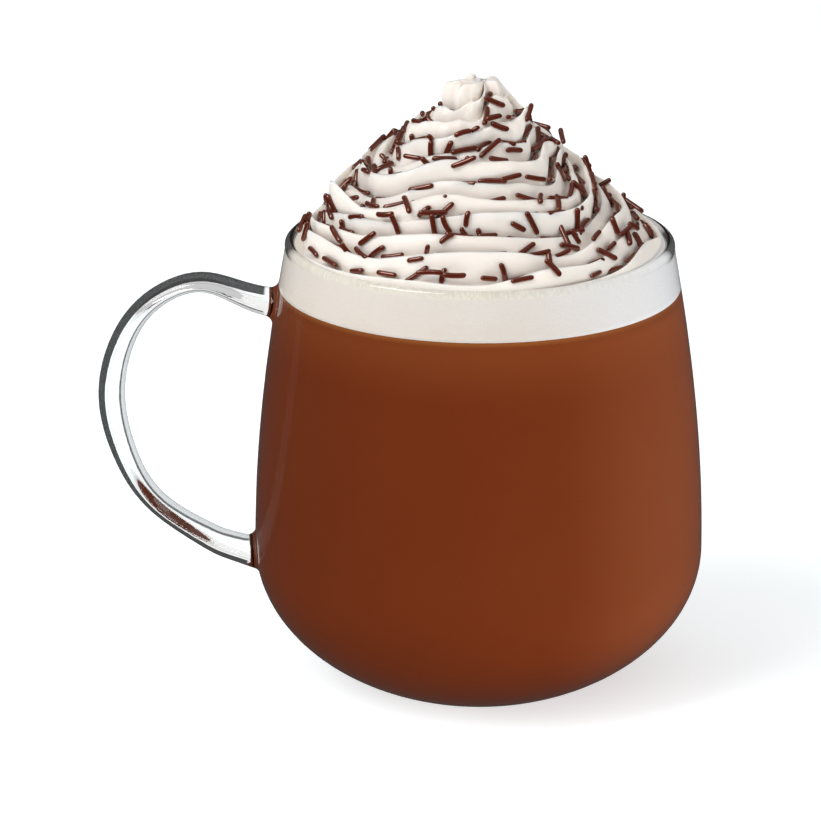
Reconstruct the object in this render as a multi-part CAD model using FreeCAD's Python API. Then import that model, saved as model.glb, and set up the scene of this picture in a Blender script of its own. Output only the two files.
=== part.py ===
"""A glass mug of chocolate latte under milk foam and a piped swirl of whipped cream.

Millimetres. The origin is the middle of the face that the mug stands on, +Z is up,
and the handle reaches out along -X.
"""

import FreeCAD, Part

import math
import os

from FreeCAD import Vector

# Bowl of the mug, outside
mug_height = 98.0
rim_radius = 41.0            # outside of the wall, just under the lip
rim_lean = 0.17              # how far the wall still leans in at the lip, per mm of height
rim_reach = 9.0              # how far down that lean shapes the wall
belly_radius = 48.0          # the widest place
belly_height = 30.3
belly_reach = 30.0           # how far up the widest place shapes the wall
foot_radius = 20.0           # edge of the flat that it stands on

# Glass
wall = 2.0
floor_thickness = 5.0
lip_swell = 0.1              # the lip is a fire-polished bead, this much fuller than the wall on each side
lip_radius = wall / 2 + lip_swell
lip_blend = 0.5

# Handle: a drawn rod of oval section, thinnest over its crown. Each pair places the middle
# of the rod: millimetres out from the belly, and the share of the way up from root to root.
handle_top_drop = 14.5       # middle of the upper root, below the lip
handle_crown = (12.0, 1.089)
handle_shoulder = (22.1, 1.002)
handle_brow = (28.3, 0.830)
handle_reach = (30.3, 0.630)
handle_bend = (27.4, 0.392)
handle_knee = (19.9, 0.188)
handle_shin = (8.5, 0.054)
handle_low_drop = 2.7        # middle of the lower root, below the widest place
handle_top_rise = 0.05       # slope of the rod as it leaves the wall
handle_low_fall = 0.34       # slope of the rod as it comes back to the wall
handle_depth = 8.4           # across the plane of the handle
crown_thickness = 3.8        # in the plane of the handle
reach_thickness = 5.7
knee_thickness = 4.4
root_thickness = 6.4
root_depth = 9.0
root_blend = 1.8
handle_rings = 36
handle_ring_points = 16

# What fills it
foam_below_lip = 3.4         # top of the milk foam, where the cream sits
foam_depth = 7.2             # down to the top of the drink
cream_gap = 0.3              # between the cream and the bead of the lip

# Whipped cream: a ridged rope piped in a rising, narrowing spiral
shoulder_rise = 3.0          # from the lip up to where the cream starts to draw in
cream_rise = 34.4            # from the lip up to the top of the cream
tip_radius = 8.4
tip_height = 4.5
top_flat_radius = 1.6
side_swell = 1.2             # how far the side bulges beyond a plain cone
rope_pitch = 11.0            # rise of the rope in one turn
rope_bulge = 2.2             # depth of the crease between two turns
ridges_per_turn = 4
ridge_depth = 1.5
waver_depth = 0.7            # how far the hand-piped rope wanders in and out
wavers_per_turn = 4.3
cream_ring_points = 64
rings_per_ridge = 5

same_place = 0.01            # two edges whose middles are this near are one


def half_plane(radius, height):
    """A point at that distance from the axis, in the plane that the lathe shapes turn from."""
    return Vector(radius, 0, height)


def lip_foot():
    """Height at which the bead of the lip meets the wall."""
    return mug_height - lip_radius - math.sqrt(lip_radius**2 - (wall / 2) ** 2)


def upper_wall(inset):
    """The wall from its widest place to the lip, moved in by inset."""
    top = lip_foot()
    curve = Part.BezierCurve()
    curve.setPoles([
        half_plane(belly_radius - inset, belly_height),
        half_plane(belly_radius - inset, belly_height + belly_reach),
        half_plane(rim_radius - inset + rim_lean * rim_reach, top - rim_reach),
        half_plane(rim_radius - inset, top),
    ])
    return curve.toShape()


def lower_wall(radius, drop, start_radius):
    """A stretch of ellipse from start_radius to the widest place; drop is the ellipse's depth."""
    centre = half_plane(0, belly_height)
    side = half_plane(radius, belly_height)
    bottom = half_plane(0, belly_height - drop)
    share = start_radius / radius
    if radius > drop:
        ellipse = Part.Ellipse(side, bottom, centre)
        return Part.ArcOfEllipse(ellipse, 0, math.acos(share)).toShape()
    ellipse = Part.Ellipse(bottom, side, centre)
    return Part.ArcOfEllipse(ellipse, math.asin(share), math.pi / 2).toShape()


def line(start, end):
    return Part.LineSegment(start, end).toShape()


def arc(start, middle, end):
    return Part.Arc(start, middle, end).toShape()


def turned(edges):
    """The solid that a closed outline sweeps in a full turn about the axis."""
    face = Part.Face(Part.Wire(Part.__sortEdges__(edges)))
    return face.revolve(Vector(0, 0, 0), Vector(0, 0, 1), 360)


def foot_drop():
    """Depth of the ellipse that passes the foot's edge at the standing face."""
    return belly_height / math.sqrt(1 - (foot_radius / belly_radius) ** 2)


def full_bowl():
    """The mug's outside as a solid, lip included, without its cavity or handle."""
    top = lip_foot()
    lip_middle = rim_radius - wall / 2
    return turned([
        line(half_plane(0, 0), half_plane(foot_radius, 0)),
        lower_wall(belly_radius, foot_drop(), foot_radius),
        upper_wall(0),
        arc(half_plane(rim_radius, top), half_plane(lip_middle, mug_height),
            half_plane(rim_radius - wall, top)),
        line(half_plane(rim_radius - wall, top), half_plane(0, top)),
        line(half_plane(0, top), half_plane(0, 0)),
    ])


def cavity():
    """The room inside the mug, up to where the lip's bead begins."""
    top = lip_foot()
    return turned([
        line(half_plane(0, top), half_plane(0, floor_thickness)),
        lower_wall(belly_radius - wall, belly_height - floor_thickness, 0),
        upper_wall(wall),
        line(half_plane(rim_radius - wall, top), half_plane(0, top)),
    ])


def wall_radius(height):
    """Outside radius of the bowl at a height."""
    probe = line(half_plane(0, height), half_plane(2 * belly_radius, height))
    outline = Part.Wire([lower_wall(belly_radius, foot_drop(), foot_radius), upper_wall(0)])
    return outline.distToShape(probe)[1][0][0].x


def blend(share, stops):
    """The value at share of the way along, eased between (share, value) stops."""
    for (start, low), (end, high) in zip(stops, stops[1:]):
        if share <= end:
            part = (share - start) / (end - start)
            eased = part * part * (3 - 2 * part)
            return low + (high - low) * eased
    return stops[-1][1]


def skin(rings):
    """A closed solid with smooth sides over rings of control points and flat ends."""
    around = len(rings[0])
    along = len(rings)
    columns = [[ring[i] for ring in rings] for i in range(around)]
    side = Part.BSplineSurface()
    side.buildFromPolesMultsKnots(
        columns,
        [1] * (around + 1), [4] + [1] * (along - 4) + [4],
        list(range(around + 1)), list(range(along - 2)),
        True, False, 3, 3)
    face = side.toShape()
    ends = [Part.Face(Part.Wire([edge])) for edge in face.Edges if edge.isClosed()]
    shell = Part.Shell([face] + ends)
    shell.sewShape()
    return Part.Solid(shell)


def ring_swell(points):
    """How far out the control points of a round ring lie for its spline to have radius 1."""
    return 3 / (2 + math.cos(2 * math.pi / points))


def oval(centre, direction, thickness, depth):
    """Control points of an ellipse square to direction; its depth runs along Y."""
    inward = direction.cross(Vector(0, 1, 0))
    swell = ring_swell(handle_ring_points)
    ring = []
    for i in range(handle_ring_points):
        angle = 2 * math.pi * i / handle_ring_points
        ring.append(centre + inward * (math.sin(angle) * swell * thickness / 2)
                    + Vector(0, math.cos(angle) * swell * depth / 2, 0))
    return ring


def rod_end(height, slope):
    """Where the middle of the rod starts: inside the cavity, which then trims it flush."""
    sink = 2 * wall
    return Vector(sink - wall_radius(height), 0, height - sink * slope)


def rod_points():
    """The points that the middle of the rod passes, from the upper root to the lower."""
    top = mug_height - handle_top_drop
    low = belly_height - handle_low_drop
    bends = [handle_crown, handle_shoulder, handle_brow, handle_reach, handle_bend,
             handle_knee, handle_shin]
    points = [rod_end(top, handle_top_rise)]
    points += [Vector(-belly_radius - out, 0, low + share * (top - low)) for out, share in bends]
    points.append(rod_end(low, handle_low_fall))
    return points


def handle():
    """The handle's rod: oval rings set square to its centreline."""
    points = rod_points()
    path = Part.BSplineCurve()
    path.interpolate(Points=points, InitialTangent=Vector(-1, 0, handle_top_rise),
                     FinalTangent=Vector(1, 0, -handle_low_fall))
    length = path.length()
    shares = [path.length(path.FirstParameter, path.parameter(point)) / length for point in points]
    crown, reach, knee = shares[1], shares[4], shares[6]
    thickness = [(0, root_thickness), (crown, crown_thickness), (reach, reach_thickness),
                 (knee, knee_thickness), (1, root_thickness)]
    depth = [(0, root_depth), (crown, handle_depth), (knee, handle_depth), (1, root_depth)]
    rings = []
    for i in range(handle_rings):
        share = i / (handle_rings - 1)
        at = path.parameterAtDistance(share * length, path.FirstParameter)
        rings.append(oval(path.value(at), path.tangent(at)[0],
                          blend(share, thickness), blend(share, depth)))
    return skin(rings)


def mug():
    """One piece of glass: bowl, lip and handle."""
    bowl = full_bowl()
    rod = handle()
    body = bowl.fuse(rod)
    joints = [edge.CenterOfMass for edge in bowl.section(rod).Edges]
    seams = [edge for edge in body.Edges
             if any(edge.CenterOfMass.distanceToPoint(joint) < same_place for joint in joints)]
    body = body.makeFillet(root_blend, seams).cut(cavity())
    rings = [edge for edge in body.Edges
             if abs(edge.BoundBox.ZMin - lip_foot()) < same_place and edge.BoundBox.ZLength < same_place]
    return body.makeFillet(lip_blend, rings)


def foam_top():
    return mug_height - foam_below_lip


def foam_bottom():
    return foam_top() - foam_depth


def layer(low, high):
    """What fills the cavity between two heights."""
    return cavity().common(Part.makeCylinder(2 * belly_radius, high - low, half_plane(0, low)))


def lobe(share):
    """One rounded bulge over each whole step of share, with a crease between two."""
    return math.sqrt(abs(math.sin(math.pi * share)))


def cream_outline(height):
    """Radius of the cream's outside at a height, before its turns and ridges are cut in."""
    widest = rim_radius - wall / 2 - lip_radius - cream_gap
    shoulder = mug_height + shoulder_rise
    tip_start = mug_height + cream_rise - tip_height
    if height <= shoulder:
        return widest
    if height <= tip_start:
        share = (height - shoulder) / (tip_start - shoulder)
        return widest + (tip_radius - widest) * share + side_swell * math.sin(math.pi * share)
    share = min(1.0, (height - tip_start) / tip_height)
    return tip_radius * math.sqrt(1 - share**2)


def cream_point(angle, height):
    """A point of the cream's side: the outline, less the creases of the spiral at that angle."""
    turn = (height - foam_top()) / rope_pitch - angle / (2 * math.pi)
    laps = math.floor(turn) + angle / (2 * math.pi)
    crease = rope_bulge * (1 - lobe(turn)) + ridge_depth * (1 - lobe(turn * ridges_per_turn))
    waver = waver_depth * (1 + math.sin(2 * math.pi * wavers_per_turn * laps)) / 2
    outline = cream_outline(height)
    fade = min(1.0, outline / (2 * tip_radius))
    radius = max(top_flat_radius, outline - (crease + waver) * fade)
    return Vector(radius * math.cos(angle), radius * math.sin(angle), height)


def whipped_cream():
    """The piped swirl, from the top of the foam to its tip."""
    rise = foam_below_lip + cream_rise
    steps = round(rise / rope_pitch * ridges_per_turn * rings_per_ridge)
    angles = [2 * math.pi * i / cream_ring_points for i in range(cream_ring_points)]
    heights = [foam_top() + rise * step / steps for step in range(steps + 1)]
    return skin([[cream_point(angle, height) for angle in angles] for height in heights])


def main():
    os.makedirs("parts", exist_ok=True)
    pieces = {
        "mug": mug(),
        "latte": layer(0, foam_bottom()),
        "milk_foam": layer(foam_bottom(), foam_top()),
        "whipped_cream": whipped_cream(),
    }
    for name, shape in pieces.items():
        shape.exportStep(f"parts/{name}.step")
        print(name, "valid" if shape.isValid() else "not valid", round(shape.Volume), "mm3")


main()
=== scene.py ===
import math
import random

import bmesh
import bpy
import numpy as np
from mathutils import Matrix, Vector
from mathutils.bvhtree import BVHTree


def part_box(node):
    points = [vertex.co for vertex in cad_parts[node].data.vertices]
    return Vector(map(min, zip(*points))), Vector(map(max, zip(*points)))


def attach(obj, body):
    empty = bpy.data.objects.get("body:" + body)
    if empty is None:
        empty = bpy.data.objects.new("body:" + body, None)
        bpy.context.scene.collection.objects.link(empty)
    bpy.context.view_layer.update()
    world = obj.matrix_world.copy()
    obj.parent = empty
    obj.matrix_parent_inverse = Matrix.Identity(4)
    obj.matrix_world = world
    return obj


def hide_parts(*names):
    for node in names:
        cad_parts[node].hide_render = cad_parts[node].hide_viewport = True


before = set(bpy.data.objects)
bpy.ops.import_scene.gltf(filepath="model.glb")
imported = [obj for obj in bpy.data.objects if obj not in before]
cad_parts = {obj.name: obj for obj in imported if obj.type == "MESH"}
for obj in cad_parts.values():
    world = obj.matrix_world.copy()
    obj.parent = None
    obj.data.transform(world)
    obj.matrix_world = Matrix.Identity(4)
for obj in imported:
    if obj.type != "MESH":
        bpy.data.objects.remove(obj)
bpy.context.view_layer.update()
mm = 0.001
scene = bpy.context.scene
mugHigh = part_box("mug")[1]  # its x is the widest radius of the bowl, its z the height of the lip
latteLow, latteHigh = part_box("latte")
foamLow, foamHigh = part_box("milk_foam")
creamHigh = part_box("whipped_cream")[1]


def linear(hexColour):
    # sRGB hex to the linear RGBA that shaders use
    channels = [int(hexColour[i:i + 2], 16) / 255 for i in (1, 3, 5)]
    return [c / 12.92 if c <= 0.04045 else ((c + 0.055) / 1.055) ** 2.4 for c in channels] + [1.0]


def addNode(tree, kind, sockets=None, **settings):
    node = tree.nodes.new("ShaderNode" + kind)
    for name, value in settings.items():
        setattr(node, name, value)
    for name, value in (sockets or {}).items():
        if isinstance(value, bpy.types.NodeSocket):
            tree.links.new(value, node.inputs[name])
        else:
            node.inputs[name].default_value = value
    return node


def newMaterial(name):
    material = bpy.data.materials.new(name)
    material.use_nodes = True
    material.node_tree.nodes.clear()
    return material, material.node_tree


def newPiece(name, vertices, faces, material):
    mesh = bpy.data.meshes.new(name)
    mesh.from_pydata([tuple(v) for v in vertices], [], [tuple(f) for f in faces])
    mesh.validate()
    mesh.materials.append(material)
    mesh.shade_smooth()
    piece = bpy.data.objects.new(name, mesh)
    scene.collection.objects.link(piece)
    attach(piece, "root")
    return piece


def treeOf(piece):
    return BVHTree.FromObject(piece, bpy.context.evaluated_depsgraph_get())


def lathe(profile, segments):
    # vertices and faces of a closed turned solid; the profile runs from the axis back to the axis
    vertices = [(0, 0, profile[0][1])]
    faces = []
    for radius, height in profile[1:-1]:
        for i in range(segments):
            angle = 2 * math.pi * i / segments
            vertices.append((radius * math.cos(angle), radius * math.sin(angle), height))
    vertices.append((0, 0, profile[-1][1]))
    last = len(vertices) - 1
    rings = len(profile) - 2
    for i in range(segments):
        j = (i + 1) % segments
        faces.append((0, 1 + j, 1 + i))
        faces.append((last, last - segments + i, last - segments + j))
        for ring in range(rings - 1):
            low = 1 + ring * segments
            faces.append((low + i, low + j, low + segments + j, low + segments + i))
    return vertices, faces


glassValues = {
    "ior": 1.5,
    "clear": "#FCFDFC",
    # painted shade tints from face-on (0) to edge-on (1), on the outside and the inside of the handle's loop
    "outerEdgeShade": ((0.1, "#FCFDFC"), (0.12, "#A0A0A0"), (0.14, "#FCFDFC"), (0.235, "#FCFDFC"),
                  (0.255, "#101010"), (1.0, "#141414")),
    "innerEdgeShade": ((0.3, "#FCFDFC"), (0.36, "#202020"), (0.44, "#282828"), (0.5, "#B4B4B4"),
                  (1.0, "#C8C8C8")),
    # the middle of the handle's loop, outside the bowl and above the table, and how softly its sides meet
    "loopMiddle": (2 * mm, 60 * mm),
    "sideBlend": 0.08,
    # where the bowl ends and the handle starts, outside the widest radius; the line leans in further up
    "handleStart": (0.9 * mm, 1.6 * mm),
    "handleLean": 0.07,
    "leanFrom": 30 * mm,
    # painted shade on the handle where the bowl mirrors it
    "handleReflectionShade": "#383838",
    # the lip's painted dark ends, painted shade: how far its ring has turned away, and the height above the
    # foam
    "lip": "#202020",
    "lipTurn": (0.7, 0.84),
    "lipRise": (1.0 * mm, 1.8 * mm),
}


def blownGlass(values):
    # clear soda-lime glass, blown, the handle drawn from a solid rod: no texture; painted shade darkens it
    # where seen edge-on
    v = values
    clearTint = linear(v["clear"])
    material, tree = newMaterial("blown soda-lime glass, fire-polished")
    path = addNode(tree, "LightPath")
    place = addNode(tree, "TexCoord")
    axes = addNode(tree, "SeparateXYZ", {"Vector": place.outputs["Object"]})
    # 1 on the handle, 0 on the bowl
    lean = addNode(tree, "Math", {
        0: axes.outputs["Z"], 1: -v["handleLean"], 2: v["handleLean"] * v["leanFrom"]},
        operation="MULTIPLY_ADD")
    clearOfWall = addNode(tree, "Math", {0: axes.outputs["X"], 1: lean.outputs[0]})
    bowlEnds, handleStarts = v["handleStart"]
    onHandle = addNode(tree, "MapRange", {
        "Value": clearOfWall.outputs[0], "From Min": -mugHigh.x - handleStarts,
        "From Max": -mugHigh.x - bowlEnds, "To Min": 1.0, "To Max": 0.0}, interpolation_type="SMOOTHSTEP")
    # how far round to the outside of the handle's loop the glass faces
    beside, above = v["loopMiddle"]
    fromLoop = addNode(tree, "VectorMath", {
        0: place.outputs["Object"], 1: (-mugHigh.x - beside, 0.0, above)}, operation="SUBTRACT")
    flat = addNode(tree, "VectorMath", {0: fromLoop.outputs[0], 1: (1, 0, 1)}, operation="MULTIPLY")
    outward = addNode(tree, "VectorMath", {0: flat.outputs[0]}, operation="NORMALIZE")
    outside = addNode(tree, "VectorMath", {0: outward.outputs[0], 1: place.outputs["Normal"]},
                      operation="DOT_PRODUCT")
    # painted shade: dark bands along the handle's edges, for camera rays
    edge = addNode(tree, "LayerWeight", {"Blend": 0.5})
    sides = []
    for stops in (v["outerEdgeShade"], v["innerEdgeShade"]):
        ramp = addNode(tree, "ValToRGB", {"Fac": edge.outputs["Facing"]})
        points = ramp.color_ramp.elements
        points[0].position, points[0].color = 0.0, clearTint
        points[1].position, points[1].color = stops[0][0], linear(stops[0][1])
        for position, colour in stops[1:]:
            points.new(position).color = linear(colour)
        sides.append(ramp.outputs["Color"])
    outer, inner = sides
    onOutside = addNode(tree, "MapRange", {
        "Value": outside.outputs["Value"], "From Min": -v["sideBlend"], "From Max": v["sideBlend"]})
    rod = addNode(tree, "Mix", {0: onOutside.outputs["Result"], 6: inner, 7: outer}, data_type="RGBA")
    # painted shade darkens the lip only where its ring turns away to the left and right
    radial = addNode(tree, "VectorMath", {0: place.outputs["Object"], 1: (1, 1, 0)}, operation="MULTIPLY")
    level = addNode(tree, "VectorMath", {0: radial.outputs[0]}, operation="NORMALIZE")
    turning = addNode(tree, "LayerWeight", {"Blend": 0.5, "Normal": level.outputs[0]})
    turned = addNode(tree, "MapRange", {
        "Value": turning.outputs["Facing"], "From Min": v["lipTurn"][0], "From Max": v["lipTurn"][1]},
        interpolation_type="SMOOTHSTEP")
    atLip = addNode(tree, "MapRange", {
        "Value": axes.outputs["Z"], "From Min": foamHigh.z + v["lipRise"][0],
        "From Max": foamHigh.z + v["lipRise"][1]}, interpolation_type="SMOOTHSTEP")
    lipShade = addNode(tree, "Math", {0: turned.outputs["Result"], 1: atLip.outputs["Result"]},
                       operation="MULTIPLY")
    bowl = addNode(tree, "Mix", {0: lipShade.outputs[0], 6: clearTint, 7: linear(v["lip"])}, data_type="RGBA")
    edged = addNode(tree, "Mix", {0: onHandle.outputs["Result"], 6: bowl.outputs[2], 7: rod.outputs[2]},
                    data_type="RGBA")
    # painted shade: where the bowl mirrors the handle, the handle is tinted dark, so it shows only faintly
    side = addNode(tree, "NewGeometry")
    entering = addNode(tree, "Math", {0: path.outputs["Is Glossy Ray"], 1: side.outputs["Backfacing"]},
                       operation="SUBTRACT", use_clamp=True)
    mirrored = addNode(tree, "Math", {0: entering.outputs[0], 1: onHandle.outputs["Result"]},
                       operation="MULTIPLY")
    plain = addNode(tree, "Mix", {0: mirrored.outputs[0], 6: clearTint, 7: linear(v["handleReflectionShade"])},
                    data_type="RGBA")
    # painted shade: the edge bands and dark lip ends for camera rays, the dimmed handle for other rays
    paintedGlassShade = addNode(tree, "Mix", {
        0: path.outputs["Is Camera Ray"], 6: plain.outputs[2], 7: edged.outputs[2]}, data_type="RGBA")
    glass = addNode(tree, "BsdfPrincipled", {
        "Base Color": paintedGlassShade.outputs[2], "Roughness": 0.0, "IOR": v["ior"], "Transmission Weight": 1.0})
    clear = addNode(tree, "BsdfTransparent", {"Color": clearTint})
    bounced = addNode(tree, "MixShader", {
        0: path.outputs["Is Diffuse Ray"], 1: glass.outputs[0], 2: clear.outputs[0]})
    mix = addNode(tree, "MixShader", {
        0: path.outputs["Is Shadow Ray"], 1: bounced.outputs[0], 2: clear.outputs[0]})
    addNode(tree, "OutputMaterial", {"Surface": mix.outputs[0]})
    return material


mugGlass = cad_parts["mug"]
mugGlass.data.materials.clear()
mugGlass.data.materials.append(blownGlass(glassValues))
for polygon in mugGlass.data.polygons:
    polygon.use_smooth = True
mugTree = treeOf(mugGlass)
clearAngle = 0.3  # a direction from the axis in which no handle is in the way
print("mug done")


def innerRadius(height):
    hit = mugTree.ray_cast(Vector((0, 0, height)), Vector((math.cos(clearAngle), math.sin(clearAngle), 0)))
    return math.hypot(hit[0].x, hit[0].y)


latteValues = {
    "reach": 0.2 * mm,  # into the glass, so that no gap shows between them
    "segments": 192,
    "steps": 70,
    "eyeHeight": 0.38,  # rays from a little below the middle of the drink find the wall
    "cloud": 25 * mm,
    "dark": "#66290F",
    "light": "#6B2E13",
    "foot": "#5A240C",
    "footHeights": (6 * mm, 30 * mm),
    "underFoam": "#753719",
    "underFoamDepth": 14 * mm,
    "seam": "#8E5128",
    "seamDepths": (1.1 * mm, 0.3 * mm),
    # painted light: the drink lighter away from the handle, and paler on that side
    "paintedSideLight": (0.72, 1.3),
    "paintedLitSide": "#9A5636",
    "paintedLitSideReach": (0.25, 0.95),
    "paintedLitSideShare": 0.45,
}


def milkyLatte(values):
    # espresso with chocolate and steamed milk: opaque, redder and paler where the foam thins into it
    v = values
    material, tree = newMaterial("chocolate latte, espresso with steamed milk")
    place = addNode(tree, "TexCoord")
    axes = addNode(tree, "SeparateXYZ", {"Vector": place.outputs["Object"]})
    # milk still turning in the coffee, in clouds
    cloud = addNode(tree, "TexNoise", {
        "Vector": place.outputs["Object"], "Scale": 1 / v["cloud"], "Detail": 3.0, "Roughness": 0.5,
        "Distortion": 0.6})
    depth = addNode(tree, "MapRange", {
        "Value": axes.outputs["Z"], "From Min": foamLow.z - v["underFoamDepth"], "From Max": foamLow.z},
        interpolation_type="SMOOTHSTEP")
    seam = addNode(tree, "MapRange", {
        "Value": axes.outputs["Z"], "From Min": foamLow.z - v["seamDepths"][0],
        "From Max": foamLow.z - v["seamDepths"][1]})
    # darker towards the bottom of the drink
    sunk = addNode(tree, "MapRange", {
        "Value": axes.outputs["Z"], "From Min": v["footHeights"][0], "From Max": v["footHeights"][1]},
        interpolation_type="SMOOTHSTEP")
    body = addNode(tree, "Mix", {0: cloud.outputs["Fac"], 6: linear(v["dark"]), 7: linear(v["light"])},
                   data_type="RGBA")
    lower = addNode(tree, "Mix", {0: sunk.outputs["Result"], 6: linear(v["foot"]), 7: body.outputs[2]},
                    data_type="RGBA")
    upper = addNode(tree, "Mix", {0: depth.outputs["Result"], 6: lower.outputs[2], 7: linear(v["underFoam"])},
                    data_type="RGBA")
    colour = addNode(tree, "Mix", {0: seam.outputs["Result"], 6: upper.outputs[2], 7: linear(v["seam"])},
                     data_type="RGBA")
    # painted light: the colour is darker on the handle's side and lighter on the side away from it
    across = addNode(tree, "MapRange", {
        "Value": axes.outputs["X"], "From Min": -mugHigh.x, "From Max": mugHigh.x,
        "To Min": v["paintedSideLight"][0], "To Max": v["paintedSideLight"][1]})
    lit = addNode(tree, "VectorMath", {0: colour.outputs[2], 1: across.outputs["Result"]},
                  operation="MULTIPLY")
    # painted light: paler still on the side away from the handle
    near, out = v["paintedLitSideReach"]
    far = addNode(tree, "MapRange", {
        "Value": axes.outputs["X"], "From Min": near * mugHigh.x, "From Max": out * mugHigh.x,
        "To Max": v["paintedLitSideShare"]}, interpolation_type="SMOOTHSTEP")
    paler = addNode(tree, "Mix", {0: far.outputs["Result"], 6: lit.outputs[0], 7: linear(v["paintedLitSide"])},
                    data_type="RGBA")
    drink = addNode(tree, "BsdfPrincipled", {
        "Base Color": paler.outputs[2], "Roughness": 0.6, "Specular IOR Level": 0.0})
    addNode(tree, "OutputMaterial", {"Surface": drink.outputs[0]})
    return material


def makeLatte(values):
    v = values
    eye = Vector((0, 0, (latteLow.z + latteHigh.z) * v["eyeHeight"]))
    rim = Vector((innerRadius(latteHigh.z), 0, latteHigh.z)) - eye
    top = math.atan2(rim.z, rim.x)
    profile = []
    for i in range(v["steps"] + 1):
        angle = -math.pi / 2 + (top + math.pi / 2) * i / v["steps"]
        direction = Vector((math.cos(angle), 0, math.sin(angle)))
        hit = mugTree.ray_cast(eye, direction)[0] + direction * v["reach"]
        profile.append((max(hit.x, 0), hit.z))
    profile[0] = (0, profile[0][1])
    profile[-1] = (profile[-1][0], latteHigh.z)
    profile.append((0, latteHigh.z))
    vertices, faces = lathe(profile, v["segments"])
    piece = newPiece("latte_drink", vertices, faces, milkyLatte(v))
    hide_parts("latte")


makeLatte(latteValues)
print("latte done")


foamValues = {
    "reach": 0.2 * mm,  # into the glass, as the latte does
    "segments": 192,
    "steps": 12,
    "rise": 2.6 * mm,  # it climbs the glass round the cream
    "rim": 2 * mm,  # the ring at its top, beside the glass
    "bubble": mm / 2.2,
    "pitDepth": 0.2 * mm,
    "drift": mm / 0.09,
    "bottom": "#CABBAE",
    "top": "#CEC3BA",
    "cloudy": "#D3CAC5",
    "crustHeights": (1.3 * mm, 1.8 * mm),
    "dryFilm": "#DAD2C8",
    "dryBubble": "#CEC5B9",
    # painted light on the side away from the handle
    "paintedLitSide": "#E9E7EA",
}


def steamedFoam(values):
    # steamed milk foam: fine even bubbles, a little stained by the drink, coarser and beige where it dries
    v = values
    material, tree = newMaterial("steamed milk foam")
    place = addNode(tree, "TexCoord")
    axes = addNode(tree, "SeparateXYZ", {"Vector": place.outputs["Object"]})
    # bubbles of about 0.45 mm, drawn coarser than most are so that they show, and drifts of about 11 mm
    bubbles = addNode(tree, "TexVoronoi", {"Vector": place.outputs["Object"], "Scale": 1 / v["bubble"]})
    drift = addNode(tree, "TexNoise", {
        "Vector": place.outputs["Object"], "Scale": 1 / v["drift"], "Detail": 3.0})
    height = addNode(tree, "MapRange", {
        "Value": axes.outputs["Z"], "From Min": foamLow.z, "From Max": foamHigh.z},
        interpolation_type="SMOOTHSTEP")
    crust = addNode(tree, "MapRange", {
        "Value": axes.outputs["Z"], "From Min": foamHigh.z + v["crustHeights"][0],
        "From Max": foamHigh.z + v["crustHeights"][1]})
    milk = addNode(tree, "Mix", {0: height.outputs["Result"], 6: linear(v["bottom"]), 7: linear(v["top"])},
                   data_type="RGBA")
    cloudy = addNode(tree, "Mix", {0: drift.outputs["Fac"], 6: milk.outputs[2], 7: linear(v["cloudy"])},
                     data_type="RGBA")
    speck = addNode(tree, "MapRange", {
        "Value": bubbles.outputs["Distance"], "From Min": 0.15, "From Max": 0.75})
    dry = addNode(tree, "Mix", {
        0: speck.outputs["Result"], 6: linear(v["dryFilm"]), 7: linear(v["dryBubble"])}, data_type="RGBA")
    colour = addNode(tree, "Mix", {0: crust.outputs["Result"], 6: cloudy.outputs[2], 7: dry.outputs[2]},
                     data_type="RGBA")
    # painted light: the foam is paler and cooler on the side away from the handle
    across = addNode(tree, "MapRange", {
        "Value": axes.outputs["X"], "From Min": 0.0, "From Max": mugHigh.x},
        interpolation_type="SMOOTHSTEP")
    cool = addNode(tree, "Mix", {0: across.outputs["Result"], 6: colour.outputs[2], 7: linear(v["paintedLitSide"])},
                   data_type="RGBA")
    pits = addNode(tree, "Bump", {
        "Height": bubbles.outputs["Distance"], "Strength": 0.4, "Distance": v["pitDepth"]})
    foam = addNode(tree, "BsdfPrincipled", {
        "Base Color": cool.outputs[2], "Roughness": 0.7, "Specular IOR Level": 0.0,
        "Normal": pits.outputs["Normal"]})
    addNode(tree, "OutputMaterial", {"Surface": foam.outputs[0]})
    return material


def makeFoam(values):
    v = values
    profile = [(0, foamLow.z)]
    top = foamHigh.z + v["rise"]
    for i in range(v["steps"] + 1):
        height = foamLow.z + (top - foamLow.z) * i / v["steps"]
        profile.append((innerRadius(height) + v["reach"], height))
    profile.append((innerRadius(top) - v["rim"], top))
    profile.append((0, top))
    vertices, faces = lathe(profile, v["segments"])
    piece = newPiece("milk_foam_band", vertices, faces, steamedFoam(v))
    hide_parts("milk_foam")


makeFoam(foamValues)
print("foam done")


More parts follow.
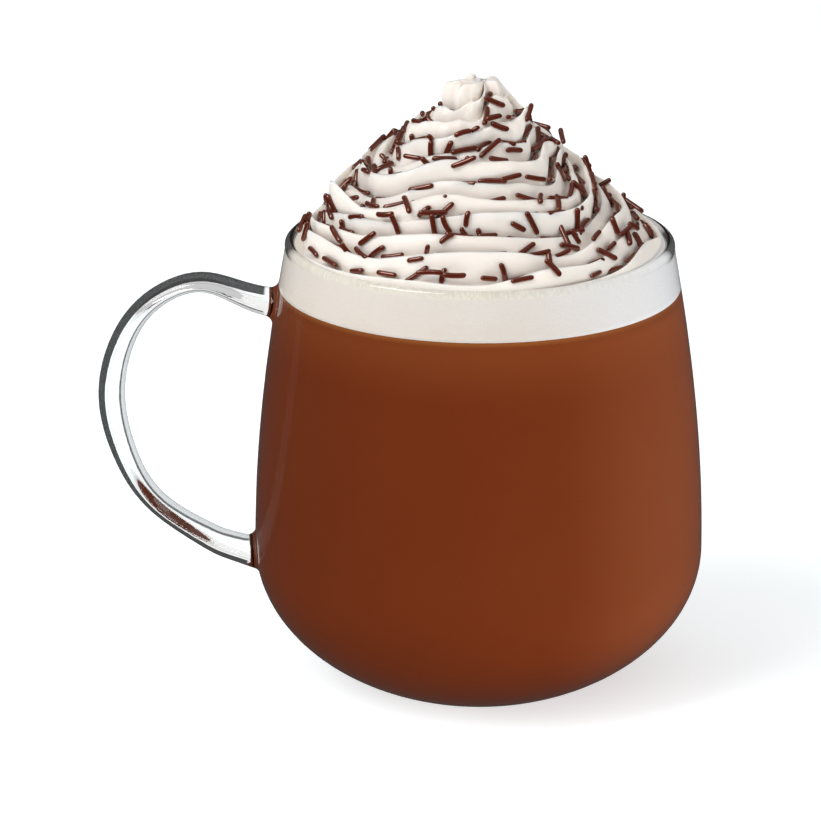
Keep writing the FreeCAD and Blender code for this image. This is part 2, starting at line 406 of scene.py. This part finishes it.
creamValues = {
    # radius against height above the lip, in mm, from the glass to the peak
    "outline": ((38.3, -2.6), (38.5, -0.6), (36.6, 1.6), (33.4, 4.5), (29.6, 8.5), (25.2, 12.8), (18.2, 18.6),
                (14.4, 22.2), (12.0, 25), (7.4, 29.3), (5.6, 32.4), (3.0, 34.0), (0.0, 34.4)),
    "outlinePoints": 400,
    "outlineRounding": 200,
    # ridges, one over the other, wound as so many strands side by side
    "layers": 12,
    "strands": 4,
    "columns": 432,
    "rowsPerLayer": 16,
    # each ridge drops behind its crest over the tread, then shows a full face
    "bladeHeight": 2.9 * mm,
    "tread": 0.27,
    "dropPower": 1.25,
    "facePower": 0.95,
    # shares of a ridge's height: at the axis, where it is thinnest, inside the outline, and curled up
    "thinnest": 0.6,
    "sunk": 0.8,
    "curl": 0.35,
    "thinRadius": 20 * mm,
    # how far up its layers reach along the outline, in mm, and over how many layers that is rounded
    "rise": ((0, 0), (2, 9.5), (6, 25.5), (11, 47.0), (12, 54.5)),
    "riseRounding": 0.7,
    # layers over which the ridges come out of the glass and close at the peak
    "settling": (0.8, 0.5),
    "waver": 0.62,
    "flutter": 0.2,
    "uneven": 0.75,
    "unevenLimits": (0.35, 1.5),
    "swell": 0.6 * mm,
    "bob": 0.35 * mm,
    "crease": 0.13 * mm,
    # seed, fewest and most waves round the swirl, how much they climb, and how many are added up
    "waves": {"waver": (5, 1, 3, 0.5, 6), "flutter": (6, 4, 9, 1.2, 6), "uneven": (7, 2, 7, 3.0, 6),
              "swell": (8, 2, 7, 2.2, 6), "bob": (9, 3, 8, 2.0, 6), "lobes": (10, 1, 2, 0.5, 6),
              "crease": (11, 11, 29, 9.0, 9)},
    # a fold that stands out and one low hump: degrees round, layer, degrees wide, layers tall
    "ear": (198, 4.4, 10, 0.6),
    "earPush": 4.5 * mm,
    "earLift": 1.5 * mm,
    "hump": (-68, 1.4, 14, 0.6),
    "humpPush": 1.5 * mm,
    # the turns of the piped rope under the fine ridges
    "turns": 5,
    "turnStart": 0.6,
    "turnLayers": (1, 3),
    "turnDepth": 0.9 * mm,
    # the nozzle leaves a few folds round the peak
    "lobes": 5,
    "lobeLayers": 2.2,
    "lobeTwist": 1.4,
    "lobeWaver": 0.5,
    "lobeDepth": 0.9 * mm,
    "peakDent": 0.9 * mm,
    "lean": 2.0 * mm,
    "leanHeight": 0.8,
    # the part inside the foam stands back from the solid's edge
    "footInset": 0.9 * mm,
    "footRise": 0.1 * mm,
    "weld": 0.02 * mm,  # points closer than this are made one
    "grain": mm / 0.7,
    "grainDepth": 0.1 * mm,
    "slow": mm / 0.11,
    "white": "#ECE5DE",
    "warm": "#E6DDD4",
    "satin": (0.34, 0.5),
    "lightDepth": 1.6 * mm,
}


def whippedDairy(values):
    # whipped dairy cream, piped cold: soft satin, light passes a little way in and comes out warmer
    v = values
    material, tree = newMaterial("whipped cream, piped")
    place = addNode(tree, "TexCoord")
    # fat that has begun to grain, about 1.4 mm, and slow changes over 9 mm
    grain = addNode(tree, "TexNoise", {
        "Vector": place.outputs["Object"], "Scale": 1 / v["grain"], "Detail": 2.0})
    slow = addNode(tree, "TexNoise", {
        "Vector": place.outputs["Object"], "Scale": 1 / v["slow"], "Detail": 2.0})
    colour = addNode(tree, "Mix", {0: slow.outputs["Fac"], 6: linear(v["white"]), 7: linear(v["warm"])},
                     data_type="RGBA")
    satin = addNode(tree, "MapRange", {
        "Value": slow.outputs["Fac"], "To Min": v["satin"][0], "To Max": v["satin"][1]})
    skin = addNode(tree, "Bump", {
        "Height": grain.outputs["Fac"], "Strength": 0.25, "Distance": v["grainDepth"]})
    cream = addNode(tree, "BsdfPrincipled", {
        "Base Color": colour.outputs[2], "Roughness": satin.outputs["Result"], "Subsurface Weight": 0.7,
        "Subsurface Radius": (1.0, 0.86, 0.74), "Subsurface Scale": v["lightDepth"],
        "Normal": skin.outputs["Normal"]})
    addNode(tree, "OutputMaterial", {"Surface": cream.outputs[0]})
    return material


def ripple(values, name, theta, level):
    # smooth seeded wobble between about -1 and 1 that closes on itself after a turn
    seed, fewest, most, steep, count = values["waves"][name]
    source = random.Random(seed)
    total = 0
    for _ in range(count):
        turns = source.randint(fewest, most)
        climb = source.uniform(-steep, steep)
        start = source.uniform(0, 2 * math.pi)
        total = total + np.sin(turns * theta + climb * level + start)
    return total / math.sqrt(count) * 0.8


def patch(place, theta, level):
    # soft patch around one place of the swirl, 1 in its middle
    atTheta, atLevel, wide, tall = place
    away = np.angle(np.exp(1j * (theta - math.radians(atTheta))))
    return np.exp(-(away / math.radians(wide)) ** 2 - ((level - atLevel) / tall) ** 2)


def outlineCurve(values):
    # evenly spaced points up the outline, its outward and upward directions, and its length
    stops = np.array(values["outline"]) * mm + np.array([0, mugHigh.z])
    steps = np.concatenate([[0], np.cumsum(np.hypot(*np.diff(stops, axis=0).T))])
    where = np.linspace(0, steps[-1], values["outlinePoints"])
    line = np.stack([np.interp(where, steps, stops[:, k]) for k in (0, 1)], axis=1)
    for _ in range(values["outlineRounding"]):
        line[1:-1] = (line[:-2] + 2 * line[1:-1] + line[2:]) / 4
    slope = np.gradient(line, axis=0)
    slope /= np.linalg.norm(slope, axis=1)[:, None]
    return line, np.stack([slope[:, 1], -slope[:, 0]], axis=1), slope, steps[-1]


def blade(values, phase):
    # height of one ridge, 0 in the groove and 1 on its crest
    tread = values["tread"]
    behind = np.clip(phase / tread, 0, 1)
    face = np.clip((phase - tread) / (1 - tread), 0, 1)
    drop = (1 - behind) ** values["dropPower"]
    return np.where(phase < tread, drop, np.sin(face * math.pi / 2) ** values["facePower"])


def smoothRise(values, place):
    counts, lengths = zip(*values["rise"])
    spread = np.linspace(-values["riseRounding"], values["riseRounding"], 8)
    return sum(np.interp(place + s, counts, lengths) for s in spread) / len(spread) * mm


def creamPoint(values, curve, theta, level):
    # radius and height on the swirl, round its axis and up its layers
    v = values
    line, outward, slope, length = curve
    layers = v["layers"]

    def wave(name):
        return ripple(v, name, theta, level)

    strand = level - v["strands"] * (theta + math.pi / 2) / (2 * math.pi)
    crest = blade(v, strand - np.floor(strand))
    settleLow, settleHigh = v["settling"]
    ends = np.clip(np.minimum(level / settleLow, (layers - level) / settleHigh), 0, 1)
    place = level + v["waver"] * wave("waver") + v["flutter"] * wave("flutter")
    rise = smoothRise(v, level + (place - level) * ends)
    along = np.clip(rise / length, 0, 1) * (len(line) - 1)
    pick = np.arange(len(line))
    r, z = (np.interp(along, pick, line[:, k]) for k in (0, 1))
    outR, outZ = (np.interp(along, pick, outward[:, k]) for k in (0, 1))
    upR, upZ = (np.interp(along, pick, slope[:, k]) for k in (0, 1))
    tall = v["bladeHeight"] * np.clip(v["thinnest"] + r / v["thinRadius"], 0, 1)
    tall = tall * np.clip(1 + v["uneven"] * wave("uneven"), *v["unevenLimits"])
    ear = patch(v["ear"], theta, level)
    push = tall * (crest - v["sunk"]) + v["swell"] * wave("swell")
    push = push + v["earPush"] * ear * crest + v["humpPush"] * patch(v["hump"], theta, level)
    turn = np.cos(2 * math.pi * v["turns"] * level / layers - theta - v["turnStart"])
    turnFrom, turnTo = v["turnLayers"]
    push = push + v["turnDepth"] * turn * np.clip((level - turnFrom) / (turnTo - turnFrom), 0, 1)
    peak = np.clip(1 - (layers - level) / v["lobeLayers"], 0, 1)
    fold = np.cos(v["lobes"] * theta + v["lobeTwist"] * level + v["lobeWaver"] * wave("lobes"))
    push = push + v["lobeDepth"] * peak * fold + v["crease"] * wave("crease")
    lift = v["curl"] * tall * crest ** 3 + v["bob"] * wave("bob") * crest + v["earLift"] * ear * crest
    push, lift = push * ends, lift * ends
    r = np.maximum(r + push * outR + lift * upR, 0)
    z = z + push * outZ + lift * upZ
    tip = line[-1, 1]
    z = np.where(level >= layers, tip - v["peakDent"], np.minimum(z, tip))
    r = np.where(level >= layers, 0, r)
    return r, z


def leaning(values, r, theta, z):
    # the piled cream leans a little towards the handle half way up
    up = np.clip((z - mugHigh.z) / (creamHigh.z - mugHigh.z), 0, 1)
    aside = values["lean"] * np.sin(math.pi * up ** values["leanHeight"])
    return np.stack([r * np.cos(theta) - aside, r * np.sin(theta), z], axis=-1)


def makeCream(values):
    v = values
    perLayer, columns, strands = v["rowsPerLayer"], v["columns"], v["strands"]
    rows = (v["layers"] + strands) * perLayer + 1
    theta = 2 * math.pi * np.arange(columns) / columns - math.pi / 2
    theta, count = np.meshgrid(theta, np.arange(rows), indexing="ij")
    climbed = strands * (theta + math.pi / 2) / (2 * math.pi)
    level = np.clip(count / perLayer - strands + climbed, 0, v["layers"])
    r, z = creamPoint(v, outlineCurve(v), theta, level)
    points = leaning(v, r, theta, z)
    vertices = [tuple(p) for p in points.reshape(-1, 3)]
    faces = []
    for i in range(columns):
        # where the swirl closes, it has climbed by one layer for each strand
        shift = strands * perLayer if i == columns - 1 else 0
        j = (i + 1) % columns
        for row in range(rows - 1):
            low, high = min(row + shift, rows - 1), min(row + 1 + shift, rows - 1)
            if level[i, row] < v["layers"] and (level[i, row + 1] > 0 or level[j, high] > 0):
                faces.append((i * rows + row, j * rows + low, j * rows + high, i * rows + row + 1))
    first = len(vertices)
    footRadius, footHeight = creamHigh.x - v["footInset"], foamHigh.z + v["footRise"]
    for angle in theta[:, 0]:
        vertices.append((footRadius * math.cos(angle), footRadius * math.sin(angle), footHeight))
    vertices.append((0, 0, footHeight))
    for i in range(columns):
        j = (i + 1) % columns
        faces.append((first + i, first + j, j * rows, i * rows))
        faces.append((first + columns, first + j, first + i))
    piece = newPiece("whipped_cream_swirl", vertices, faces, whippedDairy(v))
    tidy = bmesh.new()
    tidy.from_mesh(piece.data)
    bmesh.ops.remove_doubles(tidy, verts=tidy.verts, dist=v["weld"])
    bmesh.ops.recalc_face_normals(tidy, faces=tidy.faces)
    tidy.to_mesh(piece.data)
    tidy.free()
    piece.data.shade_smooth()
    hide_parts("whipped_cream")
    return piece


cream = makeCream(creamValues)
print("cream done", len(cream.data.polygons))


sprinkleValues = {
    "radius": 0.58 * mm,
    "thickness": (0.92, 1.08),
    "shortest": 3.4 * mm,
    "longest": 6.2 * mm,
    "curve": 0.16 * mm,
    "sides": 10,
    "seed": 21,
    # more of them on one side, as they were shaken on
    "crowdedSide": math.radians(-25),
    "crowding": 0.12,
    # the most rods and the most tries, whichever comes first, layers kept free at the foot and the peak, the
    # share that lies high up all the same, how far above the groove in mm or the face in radii, the least
    # share of a rod that shows, and the most radii that it stands out
    "grooves": {"count": 330, "tries": 5000, "layersFree": (0.6, 1.2), "highUp": 0.12, "above": (1.4, 2.4),
                "shown": 0.6, "standsOut": 4.2},
    "faces": {"count": 150, "tries": 3000, "layersFree": (0.5, 1.4), "highUp": 0.1, "above": (0.3, 0.8),
              "shown": 0.75, "standsOut": 2.6},
    # a rod in a groove leans away from the groove's line by about this much, across it and outwards
    "leanAcross": 0.2,
    "leanOut": 0.1,
    "grooveFacing": (0.64, 0.77),
    "grooveStep": 1.5 * mm,
    "innermost": 4 * mm,
    "buriedRadii": 0.4,  # a place on the rod counts as showing until its middle is this deep
    "pastTread": 1.05,
    # rods that run alike lie this many radii apart over this share of the longest, and so do the middles of
    # those that cross
    "alike": 0.8,
    "besideShare": 0.8,
    "besideRadii": 3.2,
    "crossingRadii": 3.0,
    # the peak stays bare, and no rod hangs over the glass
    "barePeak": 2.4 * mm,
    "belowLip": 0.2 * mm,
    "lipZone": 1.2 * mm,
    "bloom": mm / 0.26,
    "drag": mm / 1.8,
    "dentDepth": 0.1 * mm,
    "dark": "#400E02",
    "light": "#5A210D",
    "polish": (0.1, 0.2),
    "shineTint": "#FFD0BA",
    "glazeTint": "#FFE2D4",
}


def extrudedChocolate(values):
    # dark chocolate pressed through a die, cut short and glazed in a drum: a narrow bright line on each rod
    v = values
    material, tree = newMaterial("dark chocolate sprinkles, extruded and glazed")
    place = addNode(tree, "TexCoord")
    # fat bloom over about 4 mm, and marks of the die of about 0.55 mm
    bloom = addNode(tree, "TexNoise", {
        "Vector": place.outputs["Object"], "Scale": 1 / v["bloom"], "Detail": 3.0})
    drag = addNode(tree, "TexNoise", {
        "Vector": place.outputs["Object"], "Scale": 1 / v["drag"], "Detail": 1.0})
    colour = addNode(tree, "Mix", {0: bloom.outputs["Fac"], 6: linear(v["dark"]), 7: linear(v["light"])},
                     data_type="RGBA")
    shine = addNode(tree, "MapRange", {
        "Value": bloom.outputs["Fac"], "To Min": v["polish"][0], "To Max": v["polish"][1]})
    dents = addNode(tree, "Bump", {
        "Height": drag.outputs["Fac"], "Strength": 0.06, "Distance": v["dentDepth"]})
    chocolate = addNode(tree, "BsdfPrincipled", {
        "Base Color": colour.outputs[2], "Roughness": shine.outputs["Result"], "IOR": 1.5,
        "Specular IOR Level": 1.0, "Specular Tint": linear(v["shineTint"]), "Coat Weight": 0.8,
        "Coat Roughness": 0.06, "Coat Tint": linear(v["glazeTint"]), "Normal": dents.outputs["Normal"]})
    addNode(tree, "OutputMaterial", {"Surface": chocolate.outputs[0]})
    return material


def sprinkle(centre, axis, normal, length, radius, curve, sides):
    # one short rod with rounded ends, bent a little in the plane it lies in
    sideways = axis.cross(normal).normalized()
    upward = sideways.cross(axis)
    vertices, faces = [], []
    # its rings stand closer together where the ends round off
    stops = (-1.0, -0.96, -0.88, -0.76, -0.38, 0.0, 0.38, 0.76, 0.88, 0.96, 1.0)
    rounding = 1.1 * radius
    for stop in stops:
        x = stop * length / 2
        intoEnd = max(0.0, abs(x) - (length / 2 - rounding)) / rounding
        r = radius * max(0.15, math.sqrt(max(0.0, 1 - intoEnd ** 2)))
        middle = centre + axis * x + sideways * curve * (0.5 - stop * stop)
        for k in range(sides):
            a = 2 * math.pi * k / sides
            vertices.append(middle + upward * (r * math.cos(a)) + sideways * (r * math.sin(a)))
    for ring in range(len(stops) - 1):
        low, high = ring * sides, (ring + 1) * sides
        for k in range(sides):
            j = (k + 1) % sides
            faces.append((low + k, low + j, high + j, high + k))
    last = (len(stops) - 1) * sides
    faces.append(tuple(reversed(range(sides))))
    faces.append(tuple(range(last, last + sides)))
    return vertices, faces


def makeSprinkles(values, cream):
    v = values
    source = random.Random(v["seed"])
    surface = treeOf(cream)
    c = creamValues
    layers, strands = c["layers"], c["strands"]
    curve = outlineCurve(c)
    radius = v["radius"]
    vertices, faces, lying = [], [], []

    def at(theta, level):
        r, z = creamPoint(c, curve, np.array([theta]), np.array([level]))
        return Vector(leaning(c, r, np.array([theta]), z)[0])

    def height(point):
        spot, normal, _, _ = surface.find_nearest(point)
        return (point - spot).dot(normal)

    def side():
        while True:
            theta = source.uniform(-math.pi, math.pi)
            if source.random() < 1 - v["crowding"] + v["crowding"] * math.cos(theta - v["crowdedSide"]):
                return theta

    def tooHigh(level, kind):
        # fewer of them lie further up
        return source.random() > kind["highUp"] + (layers - level) / layers

    def inGroove(kind):
        theta = side()
        strand = source.randint(-strands, layers - 2)
        level = strand + c["tread"] * v["pastTread"] + strands * (theta + math.pi / 2) / (2 * math.pi)
        foot, peak = kind["layersFree"]
        if not foot < level < layers - peak or tooHigh(level, kind):
            return None
        length = source.uniform(v["shortest"], v["longest"])
        bottom = at(theta, level)
        step = v["grooveStep"] / max(v["innermost"], math.hypot(bottom.x, bottom.y))
        climb = strands * step / (2 * math.pi)
        along = (at(theta + step, level + climb) - at(theta - step, level - climb)).normalized()
        flat, upright = v["grooveFacing"]
        outward = Vector((math.cos(theta) * flat, math.sin(theta) * flat, upright))
        across = along.cross(outward) * source.gauss(0, v["leanAcross"])
        axis = (along + across + outward * source.gauss(0, v["leanOut"])).normalized()
        return bottom + outward * source.uniform(*kind["above"]) * mm, axis, outward, length

    def onFace(kind):
        theta = side()
        foot, peak = kind["layersFree"]
        level = source.uniform(foot, layers - peak)
        if tooHigh(level, kind):
            return None
        spot, normal, _, _ = surface.find_nearest(at(theta, level))
        along = Vector((0, 0, 1)).cross(normal).normalized()
        across = normal.cross(along)
        turn = source.uniform(-math.pi, math.pi)
        axis = (along * math.cos(turn) + across * math.sin(turn)).normalized()
        length = source.uniform(v["shortest"], v["longest"])
        return spot + normal * radius * source.uniform(*kind["above"]), axis, normal, length

    def clearOf(centre, axis):
        # rods side by side, or end to end, keep a little apart; crossing ones may touch
        for other, otherAxis in lying:
            gap = centre - other
            if gap.length > v["longest"]:
                continue
            lengthwise = gap.dot(axis)
            beside = (gap - axis * lengthwise).length
            alike = abs(axis.dot(otherAxis)) > v["alike"]
            abreast = abs(lengthwise) < v["besideShare"] * v["longest"]
            if alike and abreast and beside < v["besideRadii"] * radius:
                return False
            if gap.length < v["crossingRadii"] * radius:
                return False
        return True

    def showing(centre, axis, length, kind):
        # enough of the rod stands out of the cream, and none of it floats
        shares = (-0.45, -0.3, -0.15, 0, 0.15, 0.3, 0.45)
        spots = [height(centre + axis * length * share) for share in shares]
        shown = sum(h > -v["buriedRadii"] * radius for h in spots) / len(spots)
        return shown > kind["shown"] and max(spots) < kind["standsOut"] * radius

    def overCream(centre, axis, length):
        ends = [centre + axis * length * share for share in (-0.5, 0.5)]
        if max(end.z for end in ends) > creamHigh.z - v["barePeak"]:
            return False
        if min(end.z for end in ends) < mugHigh.z - v["belowLip"]:
            return False
        inside = innerRadius(foamHigh.z) - v["lipZone"]
        return not any(end.z < mugHigh.z + v["lipZone"] and end.xy.length > inside for end in ends)

    def lay(centre, axis, normal, length):
        bend = source.gauss(0, v["curve"])
        thick = radius * source.uniform(*v["thickness"])
        rod, rodFaces = sprinkle(centre, axis, normal, length, thick, bend, v["sides"])
        offset = len(vertices)
        vertices.extend(rod)
        faces.extend(tuple(offset + k for k in f) for f in rodFaces)
        lying.append((centre, axis))

    for pick, kind in ((inGroove, v["grooves"]), (onFace, v["faces"])):
        laid, tries = 0, 0
        while laid < kind["count"] and tries < kind["tries"]:
            tries += 1
            rod = pick(kind)
            if rod is None:
                continue
            centre, axis, normal, length = rod
            if not clearOf(centre, axis) or not showing(centre, axis, length, kind):
                continue
            if overCream(centre, axis, length):
                lay(centre, axis, normal, length)
                laid += 1
    newPiece("chocolate_sprinkles", vertices, faces, extrudedChocolate(v))
    return len(lying)


print("sprinkles done", makeSprinkles(sprinkleValues, cream))


stageValues = {
    "floor": "#E4ECEF",
    "floorHalf": 3000 * mm,
    # the floor's glow, in front of the mug and behind it, and where the one turns into the other; the
    # brighter front is painted light
    "paintedFrontGlow": 0.78,
    "backGlow": 0.45,
    "glowEnds": (-70 * mm, 10 * mm),
    "fill": 0.58,
    "reflection": 0.06,
    "ceiling": 0.3,
    "ceilingEdge": (0.35, 0.6),
    "insideGlass": 0.62,
    "lampAim": 60 * mm,
    "keyPlace": (-0.6, -0.4, 0.85),
    "keySize": 0.6,
    "keyWatts": 6.5,
    "sidePlace": (0.9, -0.55, 0.25),
    "sideSize": 0.7,
    "sideWatts": 2.8,
}
whiteLight = (1, 1, 1, 1)


def makeFloor(values):
    v = values
    material, tree = newMaterial("white floor")
    lit = addNode(tree, "BsdfDiffuse", {"Color": linear(v["floor"])})
    place = addNode(tree, "TexCoord")
    axes = addNode(tree, "SeparateXYZ", {"Vector": place.outputs["Object"]})
    # painted light: the floor glows brighter in front, where the belly hangs over the floor, lifting the
    # shade there
    front = addNode(tree, "MapRange", {
        "Value": axes.outputs["Y"], "From Min": v["glowEnds"][0], "From Max": v["glowEnds"][1],
        "To Min": v["paintedFrontGlow"], "To Max": v["backGlow"]}, interpolation_type="SMOOTHSTEP")
    glow = addNode(tree, "Emission", {"Color": whiteLight, "Strength": front.outputs["Result"]})
    both = addNode(tree, "AddShader", {0: lit.outputs[0], 1: glow.outputs[0]})
    # light that was turned back inside the glass finds the floor at an even strength
    path = addNode(tree, "LightPath")
    mirrored = addNode(tree, "Math", {0: path.outputs["Glossy Depth"], 1: 0.5}, operation="GREATER_THAN")
    dull = addNode(tree, "Emission", {"Color": whiteLight, "Strength": v["insideGlass"]})
    ground = addNode(tree, "MixShader", {0: mirrored.outputs[0], 1: both.outputs[0], 2: dull.outputs[0]})
    addNode(tree, "OutputMaterial", {"Surface": ground.outputs[0]})
    half = v["floorHalf"]
    mesh = bpy.data.meshes.new("floor")
    mesh.from_pydata([(-half, -half, 0), (half, -half, 0), (half, half, 0), (-half, half, 0)], [],
                     [(0, 1, 2, 3)])
    mesh.materials.append(material)
    floor = bpy.data.objects.new("floor", mesh)
    scene.collection.objects.link(floor)
    floor.visible_glossy = False


def makeWorld(values):
    v = values
    world = bpy.data.worlds.new("studio")
    scene.world = world
    world.use_nodes = True
    tree = world.node_tree
    tree.nodes.clear()
    path = addNode(tree, "LightPath")
    # glass shows the white ground straight through, and loses it where light is reflected on the way
    unbroken = addNode(tree, "Math", {0: path.outputs["Glossy Depth"], 1: 0.5}, operation="LESS_THAN")
    through = addNode(tree, "Math", {0: path.outputs["Is Transmission Ray"], 1: unbroken.outputs[0]},
                      operation="MULTIPLY")
    seen = addNode(tree, "Math", {0: path.outputs["Is Camera Ray"], 1: through.outputs[0]},
                   operation="MAXIMUM")
    mirrored = addNode(tree, "Math", {
        0: path.outputs["Is Glossy Ray"], 1: path.outputs["Is Transmission Ray"]}, operation="MAXIMUM")
    # reflections see a pale ceiling and a dim room
    direction = addNode(tree, "TexCoord")
    up = addNode(tree, "SeparateXYZ", {"Vector": direction.outputs["Generated"]})
    ceiling = addNode(tree, "MapRange", {
        "Value": up.outputs["Z"], "From Min": v["ceilingEdge"][0], "From Max": v["ceilingEdge"][1],
        "To Min": v["reflection"], "To Max": v["ceiling"]})
    fill = addNode(tree, "Background", {"Color": whiteLight, "Strength": v["fill"]})
    white = addNode(tree, "Background", {"Color": whiteLight, "Strength": 1.0})
    leaving = addNode(tree, "Mix", {
        0: path.outputs["Is Transmission Ray"], 2: ceiling.outputs["Result"], 3: v["insideGlass"]},
        data_type="FLOAT")
    dim = addNode(tree, "Background", {"Color": whiteLight, "Strength": leaving.outputs[0]})
    first = addNode(tree, "MixShader", {0: mirrored.outputs[0], 1: fill.outputs[0], 2: dim.outputs[0]})
    second = addNode(tree, "MixShader", {0: seen.outputs[0], 1: first.outputs[0], 2: white.outputs[0]})
    addNode(tree, "OutputWorld", {"Surface": second.outputs[0]})


def softBox(name, place, size, watts):
    light = bpy.data.lights.new(name, "AREA")
    light.size = size
    light.energy = watts
    lamp = bpy.data.objects.new(name, light)
    lamp.location = place
    aim = Vector((0, 0, stageValues["lampAim"]))
    lamp.rotation_euler = (aim - lamp.location).to_track_quat("-Z", "Y").to_euler()
    scene.collection.objects.link(lamp)
    return lamp


makeFloor(stageValues)
makeWorld(stageValues)
softBox("key", stageValues["keyPlace"], stageValues["keySize"], stageValues["keyWatts"])
sideBox = softBox("side", stageValues["sidePlace"], stageValues["sideSize"], stageValues["sideWatts"])
sideBox.visible_glossy = False
print("stage done")


cameraValues = {"distance": 0.9, "elevation": 18.0, "aim": (-14.6 * mm, 0, 59.8 * mm), "lens": 185.0}


def makeCamera(values):
    v = values
    camera = bpy.data.cameras.new("camera")
    camera.lens = v["lens"]
    camera.sensor_width = 36
    holder = bpy.data.objects.new("camera", camera)
    aim = Vector(v["aim"])
    tilt = math.radians(v["elevation"])
    holder.location = aim + Vector((0, -math.cos(tilt), math.sin(tilt))) * v["distance"]
    holder.rotation_euler = (aim - holder.location).to_track_quat("-Z", "Y").to_euler()
    scene.collection.objects.link(holder)
    scene.camera = holder


makeCamera(cameraValues)
scene.view_settings.view_transform = "Standard"
